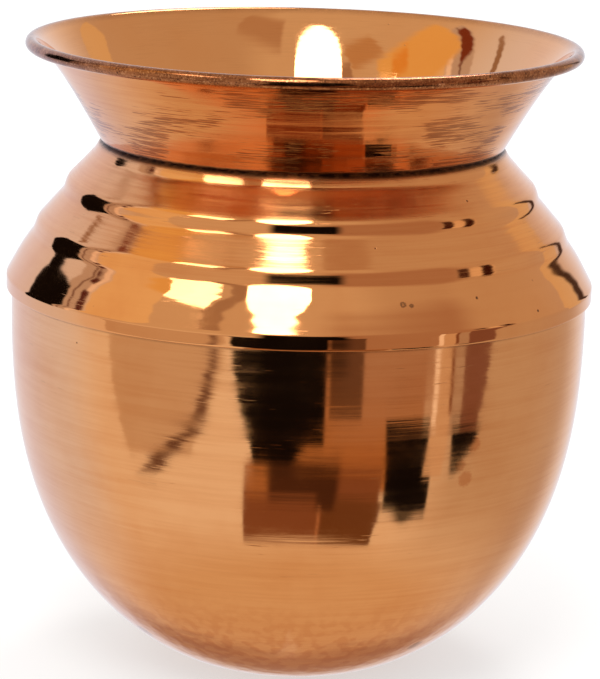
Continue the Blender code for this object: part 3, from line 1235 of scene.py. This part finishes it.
@dataclass
class Neck:
    """Flared funnel: a Bezier flare from the collar up, then an outward curl round the rim wire."""

    finish: SpunCopper
    wall: float = 0.5 * MM
    wire_radius: float = 0.35 * MM
    wire_clearance: float = 0.25 * MM
    flare_angle: float = 38.0
    inner_start: Pair = (90.0, 2.2 * MM)
    inner_handle: float = 2.8 * MM
    outer_start: Pair = (60.4, 7.2 * MM)
    outer_handle: float = 4.8 * MM
    curl_sweep: float = 270.0
    curl_points: int = 90
    spacing: float = 0.2 * MM
    waves: tuple[float, ...] = (1.3 * MM, 2.3 * MM, 4.1 * MM)
    ripple_height: float = 0.0018 * MM
    inner_calm: float = 0.9
    seat: float = 92.1 * MM
    # Reach and strength of the painted shade and dirt at the seat
    seat_shade: Pair = (0.4 * MM, 1.0)
    radius: float = 35.0 * MM
    rim_fade: float = 14.0
    rim_spill: float = 0.35
    rim_underside: Pair = (0.26, 0.1)
    rim_dents: int = 150
    rim_dent_size: float = 0.9 * MM
    rim_dent_depth: float = 0.025 * MM

    def middle_line(self, begin: Pair, handle: float) -> tuple[np.ndarray, int]:
        """Line in the sheet, top to bottom: the curl's arc, then a Bezier flare down to the seat.

        Args:
            begin: Angle of the flare's lower end from the level, and the length of its handle.
            handle: Length of the handle at the flare's upper end.

        Returns:
            The line from the curl's free end to the seat, and how many of its points are the curl's.
        """
        _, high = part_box("neck")
        curl_radius = self.wire_radius + self.wire_clearance + self.wall / 2
        reach = curl_radius + self.wall / 2
        rim = np.array([high.x - reach, high.z - reach])
        angle = math.radians(self.flare_angle)
        onward = np.array([math.cos(angle), math.sin(angle)])
        top = angle + math.pi / 2
        curl = arc(rim, curl_radius, top - math.radians(self.curl_sweep), top, self.curl_points)
        curl = resample(curl, self.spacing / 2)
        start = np.array([self.radius - self.wall / 2, self.seat])
        lean = math.radians(begin[0])
        leave = begin[1] * np.array([math.cos(lean), math.sin(lean)])
        flare = bezier([start, start + leave, curl[-1] - onward * handle, curl[-1]])
        return np.concatenate([curl, resample(flare[::-1], self.spacing)[1:]]), len(curl)

    def wear(self, points: int, curl_points: int) -> np.ndarray:
        """Dullness of the face that turns into the bead: 1 on the curl, fading down and underneath.

        Args:
            points: Points of the face, from the curl's free end down.
            curl_points: How many of them are the curl's.

        Returns:
            (points,) values from 0 to 1.
        """
        count = np.arange(points)
        start, fade = self.rim_underside
        top = np.clip((curl_points - count) / self.rim_fade + self.rim_spill, 0, 1)
        return top * np.clip((count / curl_points - start) / fade, 0, 1)

    def build(self, effects: Effects) -> None:
        """Model the funnel with tool ripple: straight outside, upright inside, and dull on its curl.

        Args:
            effects: Shared node groups.
        """
        out_line, curl_points = self.middle_line(self.outer_start, self.outer_handle)
        in_line, _ = self.middle_line(self.inner_start, self.inner_handle)
        outer = out_line - right_normals(out_line) * self.wall / 2
        inner = in_line + right_normals(in_line) * self.wall / 2
        section = Section.of_sheet(outer, inner)
        # Painted shade and dirt at the neck's seat
        section.darken_crease(tuple(outer[-1]), *self.seat_shade)
        turned = Turning(section)
        turn = turned.angles()
        push = self.ripple_height * ripple(section.along, turn, self.waves, SEED + 2)
        push = push * np.where(section.outside(), 1.0, self.inner_calm)[:, None]
        worn = np.zeros(len(section.points))
        worn[:len(inner)] = self.wear(len(inner), curl_points)[::-1]
        dents = hammer_marks(section.along, turn, self.rim_dent_size, self.rim_dents, SEED + 3)
        push = push - self.rim_dent_depth * worn[:, None] * dents
        mesh = turned.mesh("neck_funnel", push, unround(turn))
        turned.paint(mesh, "rim", worn)
        show(mesh, self.finish.make(effects), "neck")


@dataclass
class RimWire:
    """Wire that the curl is rolled round."""

    finish: FusedMetal
    points: int = 28

    def build(self, effects: Effects) -> None:
        """Model the wire: a circle as tall as its node, carried round at the node's reach.

        Args:
            effects: Shared node groups.
        """
        low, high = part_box("rim_wire")
        radius = (high.z - low.z) / 2
        middle = np.array([high.x - radius, low.z + radius])
        line = arc(middle, radius, math.pi, -math.pi, self.points + 1)[:-1]
        turned = Turning(Section.of_loop(line))
        mesh = turned.mesh("rim_wire_ring", bend=unround(turned.angles()))
        show(mesh, self.finish.make(effects), "rim_wire")


@dataclass
class BrazeRing:
    """Ring of brazing metal in a seam."""

    node: str
    piece: str
    finish: FusedMetal
    spacing: float = 0.1 * MM
    lump: float = 0.04 * MM
    lumps_round: int = 40
    waves: tuple[float, ...] = (0.9 * MM, 1.4 * MM)
    digits: int = 6

    def outline(self) -> np.ndarray:
        """The node's own outline: its points as radius and height, in order round their middle.

        Returns:
            (n, 2) radius and height points.
        """
        mesh = bpy.data.objects[self.node].data
        points = np.empty(len(mesh.vertices) * 3)
        mesh.vertices.foreach_get("co", points)
        x, y, z = points.reshape(-1, 3).T
        corners = np.unique(np.round(np.stack([np.hypot(x, y), z], axis=1), self.digits), axis=0)
        spokes = corners - corners.mean(axis=0)
        loop = corners[np.argsort(-np.arctan2(spokes[:, 1], spokes[:, 0]))]
        return resample(np.concatenate([loop, loop[:1]]), self.spacing)[:-1]

    def build(self, effects: Effects) -> None:
        """Model the ring with a lumpy surface that stays inside its outline.

        Args:
            effects: Shared node groups.
        """
        section = Section.of_loop(self.outline())
        turned = Turning(section)
        turn = turned.angles()
        lumps = ripple(section.along, self.lumps_round * turn, self.waves, SEED + 4)
        mesh = turned.mesh(self.piece, -self.lump * (1 + lumps) / 2, unround(turn))
        show(mesh, self.finish.make(effects), self.node)


# Studio


@dataclass(frozen=True)
class Panel:
    """A dark flag or a pale card far round the pot, as the metal mirrors it.

    Attributes:
        azimuth: Middle, in degrees from the front towards the right.
        elevation: Middle, in degrees above the horizon.
        width: Degrees across at the middle.
        height: Degrees from top to bottom.
        shade: Colour.
        lean: Degrees that the middle moves to the right for each degree up.
        taper: Degrees that each side moves out for each degree up.
        soft: Degrees over which the edge fades.
        cover: Share of what lies behind that it covers.
    """

    azimuth: float
    elevation: float
    width: float
    height: float
    shade: Colour
    lean: float = 0.0
    taper: float = 0.0
    soft: float = 1.2
    cover: float = 1.0


@dataclass(frozen=True)
class Softbox:
    """A soft lamp round the pot.

    Attributes:
        azimuth: Degrees from the front towards the right.
        elevation: Degrees above the horizon.
        width: Degrees across, seen from the pot.
        height: Degrees from top to bottom, seen from the pot.
        glow: Brightness of its face, where 1 is white.
        round: Whether its face is an ellipse.
    """

    azimuth: float
    elevation: float
    width: float
    height: float
    glow: float
    round: bool = False


BLACK = (0.006, 0.005, 0.005)
UMBER = (0.068, 0.031, 0.018)
BROWN = (0.23, 0.107, 0.06)
DEEP_BROWN = (0.157, 0.076, 0.036)
RUST = (0.42, 0.217, 0.10)
TAN = (0.62, 0.54, 0.48)
WHITE = (1.0, 1.0, 1.0)

CARDS = (
    Panel(0.0, -75.0, 360.0, 50.0, (0.71, 0.60, 0.47), soft=24.0),
    Panel(105.0, -15.0, 90.0, 60.0, (0.56, 0.50, 0.45), soft=36.0),
    Panel(105.0, 50.0, 130.0, 70.0, (0.58, 0.50, 0.43), soft=30.0),
    Panel(-130.0, 2.0, 70.0, 84.0, (0.77, 0.90, 1.25), soft=30.0),
    Panel(180.0, 5.0, 64.0, 70.0, (0.88, 0.92, 1.02), soft=40.0),
)
FLAGS = (
    # left of the front
    Panel(-55.0, -17.0, 44.0, 18.0, TAN, lean=0.35, taper=0.85),
    Panel(-36.0, -16.5, 4.0, 9.0, (0.17, 0.105, 0.095), lean=1.1, taper=-0.1, soft=2.4),
    Panel(-51.0, -24.5, 8.0, 10.0, (0.13, 0.07, 0.06), lean=2.9, taper=-0.3, soft=2.4),
    # front: a wide flag over a brown one
    Panel(21.0, -21.0, 62.0, 26.0, RUST, soft=1.4),
    Panel(45.0, 12.0, 64.0, 62.0, (0.44, 0.31, 0.25), soft=16.0),
    Panel(19.5, -11.0, 13.0, 16.0, UMBER, soft=1.4, cover=0.8),
    Panel(7.5, -38.5, 61.0, 20.0, BROWN, lean=0.1, taper=-0.15),
    Panel(26.5, -42.0, 27.0, 13.0, DEEP_BROWN, soft=1.4),
    Panel(-15.5, -31.0, 10.0, 8.0, RUST, lean=0.2, soft=3.0),
    Panel(4.0, -31.5, 30.0, 9.0, UMBER, soft=4.0),
    Panel(14.0, -36.0, 8.0, 6.0, UMBER, soft=3.0),
    Panel(11.7, -43.0, 1.4, 10.0, (0.40, 0.22, 0.14), soft=0.8),
    Panel(2.5, 10.0, 34.0, 46.0, BLACK, soft=6.0),
    Panel(-5.5, -17.0, 34.0, 14.0, BLACK, lean=-0.33, taper=0.33),
    Panel(-7.0, -24.5, 22.0, 7.0, BLACK, lean=0.75, taper=1.05),
    # right of the front
    Panel(49.0, -29.0, 21.0, 18.5, BLACK, lean=-0.31, taper=-0.06),
    Panel(52.0, -39.0, 11.0, 4.5, BLACK, taper=2.2),
    Panel(60.0, -16.0, 9.0, 26.0, (0.66, 0.55, 0.46), soft=0.8),
    Panel(66.5, -12.0, 5.0, 18.0, (0.48, 0.42, 0.40), soft=0.8),
    Panel(56.6, -10.0, 2.0, 20.0, (1.0, 1.05, 1.2), soft=0.8),
    Panel(63.6, -9.0, 1.4, 19.0, BROWN, soft=0.8),
    Panel(76.5, -9.0, 15.0, 23.0, (0.23, 0.126, 0.11), lean=0.3, taper=0.3),
    Panel(71.5, -24.0, 9.0, 8.0, BLACK, lean=0.4, taper=0.8),
    # both sides
    Panel(-82.0, 33.0, 30.0, 36.0, (0.86, 0.76, 0.55), soft=1.6),
    Panel(-105.0, 22.0, 14.0, 60.0, (0.56, 0.56, 0.66), soft=1.6),
    Panel(-99.5, 22.0, 3.0, 60.0, (0.95, 0.98, 1.15), soft=1.6),
    Panel(-106.0, 22.0, 1.2, 60.0, (0.24, 0.18, 0.19)),
    Panel(-120.0, 7.0, 22.0, 32.0, BLACK, soft=1.6),
    Panel(-102.5, 32.0, 4.0, 4.0, (0.10, 0.03, 0.03), soft=1.6),
    Panel(-100.0, 24.0, 4.0, 5.0, (0.10, 0.03, 0.03), soft=1.6),
    Panel(134.5, 14.0, 13.0, 40.0, (0.74, 0.63, 0.43)),
    Panel(142.5, 7.0, 4.5, 24.0, (0.07, 0.045, 0.035), lean=-0.65, soft=2.5),
    Panel(83.0, 15.0, 20.0, 13.0, (0.80, 0.68, 0.56), soft=2.0),
    Panel(76.0, 17.0, 6.0, 12.0, (0.06, 0.02, 0.015), soft=2.0),
    Panel(89.0, 14.0, 6.0, 17.0, (0.045, 0.012, 0.008), soft=2.0),
    # behind and below
    Panel(180.0, -54.0, 70.0, 28.0, (0.47, 0.33, 0.25), soft=20.0),
    # above
    Panel(-36.0, 50.0, 9.0, 20.0, (0.42, 0.33, 0.28), lean=0.5, soft=1.6),
    Panel(38.0, 68.0, 36.0, 9.0, (0.50, 0.38, 0.30), soft=4.0),
    Panel(-80.0, 51.0, 44.0, 13.0, (0.84, 0.64, 0.29), lean=0.6, soft=2.5),
    Panel(-70.0, 53.5, 10.0, 5.0, (0.80, 0.45, 0.12), soft=3.0),
    Panel(-45.0, 61.0, 22.0, 6.0, (0.56, 0.40, 0.26), lean=1.5, soft=2.5),
    Panel(-108.0, 46.0, 6.0, 9.0, (0.20, 0.055, 0.03), soft=1.6),
    Panel(-125.5, 33.5, 3.0, 10.0, (0.34, 0.25, 0.20)),
)
LAMPS = (
    Softbox(-11.0, 55.8, 20.0, 33.0, 6.5, round=True),
    Softbox(-55.0, 47.8, 17.0, 11.0, 3.5),
    Softbox(160.0, 55.0, 17.0, 20.0, 8.0),
)


@dataclass
class Studio:
    """Camera, floor, soft lamps and the surround that the metal mirrors."""

    floor_reach: float = 8.0
    floor_gap: float = 0.05 * MM
    floor_colour: Colour = (0.40, 0.40, 0.397)
    floor_glow: float = 0.58
    floor_roughness: float = 0.8
    camera_distance: float = 540.0 * MM
    camera_height: float = 178.1 * MM
    camera_side: float = 0.41 * MM
    camera_pitch: float = 12.68
    camera_roll: float = 1.49
    camera_clip: float = 10.0 * MM
    focal_pixels: float = 3154.0
    picture_height: float = 679.0
    sensor: float = 36.0
    lamp_distance: float = 1.6
    lamp_aim: float = 80.0 * MM
    room_light: float = 0.95
    upper: Colour = (0.68, 0.62, 0.55)
    lower: Colour = (0.84, 0.83, 0.83)
    horizon: Pair = (-14.0, 10.0)

    def build(self) -> None:
        """Set up everything round the pot."""
        self.place_camera()
        self.lay_floor()
        for lamp in LAMPS:
            self.hang_lamp(lamp)
        self.hang_surround()
        bpy.context.scene.view_settings.view_transform = "Standard"

    def place_camera(self) -> None:
        """Stand the camera in front of the pot, looking a little down."""
        data = bpy.data.cameras.new("view_camera")
        data.sensor_width = self.sensor
        data.lens = self.focal_pixels * self.sensor / self.picture_height
        data.clip_start = self.camera_clip
        camera = place_object(data)
        camera.location = (self.camera_side, -self.camera_distance, self.camera_height)
        tilt = Euler((math.radians(90.0 - self.camera_pitch), 0.0, 0.0)).to_matrix()
        roll = Euler((0.0, 0.0, math.radians(self.camera_roll))).to_matrix()
        camera.rotation_euler = (tilt @ roll).to_euler()
        bpy.context.scene.camera = camera

    def lay_floor(self) -> None:
        """Plain pale floor just under the standing face; the metal mirrors the surround in its place."""
        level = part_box("bowl")[0].z - self.floor_gap
        sides = np.array([[-1, -1], [1, -1], [1, 1], [-1, 1]]) * self.floor_reach
        corners = np.concatenate([sides, np.full((4, 1), level)], axis=1)
        mesh = bpy.data.meshes.new("floor")
        mesh.from_pydata(corners.tolist(), [], [(0, 1, 2, 3)])
        floor = place_object(mesh)
        material, desk, shader = new_material("pale_floor")
        desk.label(
            shader, Base_Color=self.floor_colour, Emission_Color=WHITE,
            Emission_Strength=self.floor_glow, Roughness=self.floor_roughness, Specular_IOR_Level=0.0)
        mesh.materials.append(material)
        floor.visible_glossy = False

    def hang_lamp(self, lamp: Softbox) -> None:
        """Hang one soft lamp that faces the pot; power = glow x pi x area.

        Args:
            lamp: The lamp.
        """
        data = bpy.data.lights.new("softbox", "AREA")
        data.shape = "ELLIPSE" if lamp.round else "RECTANGLE"
        data.size = 2 * self.lamp_distance * math.tan(math.radians(lamp.width / 2))
        data.size_y = 2 * self.lamp_distance * math.tan(math.radians(lamp.height / 2))
        area = data.size * data.size_y * (math.pi / 4 if lamp.round else 1.0)
        data.energy = lamp.glow * math.pi * area
        light = place_object(data)
        around, above = math.radians(lamp.azimuth), math.radians(lamp.elevation)
        out = math.cos(above)
        way = Vector((math.sin(around) * out, -math.cos(around) * out, math.sin(above)))
        light.location = Vector((0.0, 0.0, self.lamp_aim)) + way * self.lamp_distance
        light.rotation_euler = way.to_track_quat("Z", "Y").to_euler()
        light.visible_camera = False

    def hang_surround(self) -> None:
        """World: white to the camera, even soft light to matt surfaces, cards and flags to the metal."""
        world = bpy.data.worlds.new("studio_surround")
        bpy.context.scene.world = world
        world.use_nodes = True
        world.node_tree.nodes.clear()
        desk = Desk(world.node_tree)
        x, y, z = desk.feed(desk.node("SeparateXYZ"), desk.node("TexCoord").outputs["Generated"]).outputs
        azimuth = desk.maths("DEGREES", desk.maths("ARCTAN2", x, desk.times(y, -1.0)))
        elevation = desk.maths("DEGREES", desk.maths("ARCSINE", z))
        shade = desk.mix(desk.span(elevation, *self.horizon), self.lower, self.upper)
        group = self._panel_group()
        for panel in CARDS + FLAGS:
            mask = desk.use(
                group, Azimuth=azimuth, Elevation=elevation, Middle=panel.azimuth, Level=panel.elevation,
                Half_width=panel.width / 2, Half_height=panel.height / 2, Lean=panel.lean,
                Taper=panel.taper, Soft=panel.soft / 2, Cover=panel.cover)
            shade = desk.mix(mask.outputs[0], shade, panel.shade)
        backdrop, room, mirrored = (
            desk.label(desk.node("Background"), Color=colour, Strength=glow).outputs[0]
            for colour, glow in ((WHITE, 1.0), (WHITE, self.room_light), (shade, 1.0)))
        path = desk.node("LightPath").outputs
        seen = desk.feed(desk.node("MixShader"), path["Is Glossy Ray"], room, mirrored).outputs[0]
        final = desk.feed(desk.node("MixShader"), path["Is Camera Ray"], seen, backdrop).outputs[0]
        desk.label(desk.node("OutputWorld"), Surface=final)

    @staticmethod
    def _panel_group() -> bpy.types.NodeTree:
        """One panel's mask: between its leaning, tapering sides and its ends, with soft edges.

        Returns:
            The group.
        """
        place = ("Azimuth", "Elevation", "Middle", "Level", "Half width", "Half height")
        desk, get, out = new_group("panel", (*place, "Lean", "Taper", "Soft", "Cover"), ("Mask",))
        rise = desk.maths("SUBTRACT", get["Elevation"], get["Level"])
        middle = desk.add(get["Middle"], rise, get["Lean"])
        across = desk.maths("WRAP", desk.maths("SUBTRACT", get["Azimuth"], middle), 180.0, -180.0)
        half = desk.add(get["Half width"], rise, get["Taper"])
        sides = []
        for gap, reach in ((across, half), (rise, get["Half height"])):
            outer = desk.maths("ADD", reach, get["Soft"])
            inner = desk.maths("SUBTRACT", reach, get["Soft"])
            sides.append(desk.span(desk.maths("ABSOLUTE", gap), outer, inner))
        desk.put(out["Mask"], desk.times(desk.times(*sides), get["Cover"]))
        return desk.tree


# The whole pot

BOWL_COPPER = SpunCopper(
    "bowl_copper",
    bright=(0.91, 0.435, 0.178),
    deep=(0.82, 0.345, 0.125),
    scratches=0.08,
    hammer_top=24.0 * MM,
    marks=(
        Mark(36.4, 48.7, 49.5, 1.6, STAIN, 0.55),
        Mark(35.2, 42.8, 48.7, 1.7, STAIN, 0.5),
        Mark(33.6, 45.4, 49.1, 1.3, STAIN, 0.45),
        Mark(-53.6, 8.3, 31.2, 2.2, OXIDE, 0.6),
        Mark(43.4, 8.3, 31.2, 1.8, OXIDE, 0.6),
    ),
)
SHOULDER_COPPER = SpunCopper(
    "shoulder_copper",
    bright=(0.89, 0.395, 0.148),
    deep=(0.79, 0.30, 0.10),
    gloss=0.035,
    streak_gloss=0.08,
    brushed=0.9,
    brush_roughness=0.09,
    smooth_below=76.0 * MM,
    pitch=0.32 * MM,
    line_depth=0.011 * MM,
    marks=(
        Mark(36.7, 72.9, 48.2, 0.42, OXIDE, 0.95),
        Mark(20.3, 72.8, 48.2, 0.7, OXIDE, 0.7, hollow=1.0),
        Mark(22.0, 72.6, 48.3, 0.6, OXIDE, 0.7, hollow=1.0),
        Mark(51.7, 69.6, 50.5, 0.35, OXIDE, 0.95),
        Mark(54.1, 73.8, 47.5, 0.35, OXIDE, 0.95),
    ),
)
NECK_COPPER = SpunCopper(
    "neck_copper",
    bright=(0.85, 0.365, 0.13),
    deep=(0.71, 0.255, 0.08),
    inner=(0.885, 0.41, 0.16),
    gloss=0.035,
    streak_gloss=0.04,
    brushed=0.9,
    pitch=0.36 * MM,
    line_depth=0.005 * MM,
    scratches=0.32,
    scratch_tone=0.85,
    inner_roughness=-0.01,
    rim=True,
    marks=(
        Mark(-53.0, 99.4, 38.5, 0.5, OXIDE, 0.95),
        Mark(-43.6, 100.0, 38.9, 0.35, OXIDE, 0.95),
        Mark(-42.2, 99.8, 38.9, 0.4, OXIDE, 0.95),
    ),
)
WIRE_COPPER = FusedMetal("wire_copper", (0.46, 0.20, 0.10), (0.22, 0.09, 0.05), 0.35)
BRAZE_METAL = FusedMetal("braze_metal", (0.68, 0.40, 0.16), (0.40, 0.22, 0.09), 0.32)


def main() -> None:
    """Build the pot from its base up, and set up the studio."""
    logging.basicConfig(level=logging.INFO, format="%(name)s: %(message)s")
    for leftover in list(bpy.data.objects):
        bpy.data.objects.remove(leftover)
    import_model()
    effects = Effects()
    Bowl(BOWL_COPPER).build(effects)
    Shoulder(SHOULDER_COPPER).build(effects)
    Neck(NECK_COPPER).build(effects)
    RimWire(WIRE_COPPER).build(effects)
    BrazeRing("belly_braze", "belly_braze_ring", BRAZE_METAL).build(effects)
    BrazeRing("neck_braze", "neck_braze_ring", BRAZE_METAL).build(effects)
    Studio().build()


if __name__ == "__main__":
    main()
